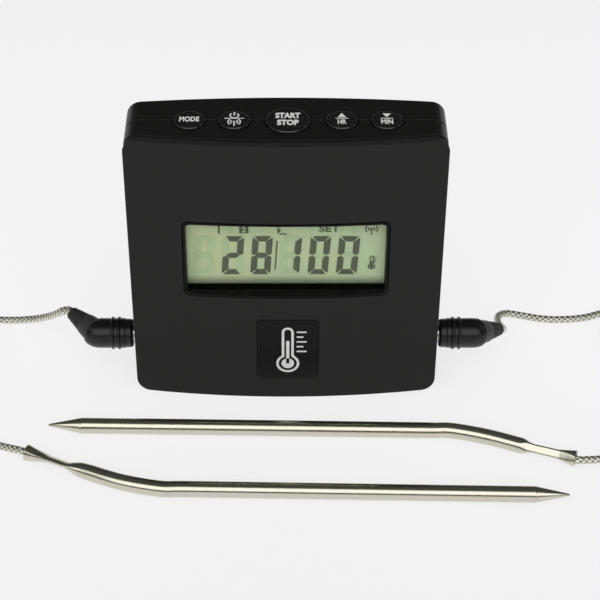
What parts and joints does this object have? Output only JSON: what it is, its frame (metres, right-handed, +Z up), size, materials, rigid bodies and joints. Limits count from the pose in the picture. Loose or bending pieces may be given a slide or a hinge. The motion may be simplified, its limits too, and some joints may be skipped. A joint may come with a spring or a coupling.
{
  "type": "two-probe digital thermometer",
  "caption": "Square black digital thermometer with an LCD window, round top keys and plug-in braided leads to bent, pointed steel probes.",
  "frame": {"origin": "centre of the flat foot of the case, on the table", "axes": "+Z up, +X to the reader's right along the case's width and the probes, -Y towards the reader"},
  "size_m": [0.2548, 0.0872, 0.0865],
  "materials": {
    "panel": "matte charcoal",
    "shell": "satin black",
    "gloss": "gloss black",
    "clear": "clear",
    "display": "pale green liquid crystal display",
    "diffuser": "white",
    "silicone": "silicone",
    "board": "solder mask green",
    "chip": "moulded black",
    "tin": "tinned",
    "nickel": "nickel plated",
    "cell": "wrapped cell",
    "rubber": "black overmould",
    "braid": "woven wire braid",
    "steel": "polished stainless",
    "bead": "epoxy bead"
  },
  "bodies": {
    "case": {"face_panel": "panel", "front_shell": "shell", "rear_shell": "shell", "lcd_frame": "shell", "badge": "gloss", "window_lens": "clear", "lcd_glass": "display", "backlight_plate": "diffuser", "zebra_strip_lower": "silicone", "zebra_strip_upper": "silicone", "main_board": "board", "button_board": "board", "board_header": "chip", "controller_chip": "chip", "radio_module": "tin", "sounder": "chip", "mode_switch": "chip", "power_switch": "chip", "start_switch": "chip", "up_switch": "chip", "down_switch": "chip", "lower_left_screw": "tin", "lower_right_screw": "tin", "upper_left_screw": "tin", "upper_right_screw": "tin", "lower_battery": "cell", "upper_battery": "cell", "left_contact": "tin", "left_jack": "chip", "right_contact": "tin", "right_jack": "chip"},
    "battery_door": {"battery_door": "shell"},
    "mode_button": {"mode_button": "gloss"},
    "power_button": {"power_button": "gloss"},
    "start_button": {"start_button": "gloss"},
    "up_button": {"up_button": "gloss"},
    "down_button": {"down_button": "gloss"},
    "left_lead": {"left_plug_pin": "nickel", "left_plug_body": "rubber", "left_strain_relief": "rubber", "left_cable_to_coil": "braid", "left_cable_coil": "braid", "left_cable_to_probe": "braid", "left_probe_tube": "steel", "left_probe_tip": "steel", "left_sensor": "bead"},
    "right_lead": {"right_plug_pin": "nickel", "right_plug_body": "rubber", "right_strain_relief": "rubber", "right_cable_to_coil": "braid", "right_cable_coil": "braid", "right_cable_to_probe": "braid", "right_probe_tube": "steel", "right_probe_tip": "steel", "right_sensor": "bead"}
  },
  "joints": [
    {"name": "mode_press", "type": "slide", "parent": "case", "child": "mode_button", "axis": [0, 0, -1], "range_m": [0, 0.0005], "stiffness_N_per_m": 2000},
    {"name": "power_press", "type": "slide", "parent": "case", "child": "power_button", "axis": [0, 0, -1], "range_m": [0, 0.0005], "stiffness_N_per_m": 2000},
    {"name": "start_press", "type": "slide", "parent": "case", "child": "start_button", "axis": [0, 0, -1], "range_m": [0, 0.0005], "stiffness_N_per_m": 2000},
    {"name": "up_press", "type": "slide", "parent": "case", "child": "up_button", "axis": [0, 0, -1], "range_m": [0, 0.0005], "stiffness_N_per_m": 2000},
    {"name": "down_press", "type": "slide", "parent": "case", "child": "down_button", "axis": [0, 0, -1], "range_m": [0, 0.0005], "stiffness_N_per_m": 2000},
    {"name": "battery_door_tilt", "type": "hinge", "parent": "case", "child": "battery_door", "pos_m": [0, 0.0125, 0.0069], "axis": [-1, 0, 0], "range_deg": [0, 75]},
    {"name": "left_plug_pull", "type": "slide", "parent": "case", "child": "left_lead", "axis": [-1, 0, 0], "range_m": [0, 0.0125]},
    {"name": "right_plug_pull", "type": "slide", "parent": "case", "child": "right_lead", "axis": [1, 0, 0], "range_m": [0, 0.0125]}
  ]
}
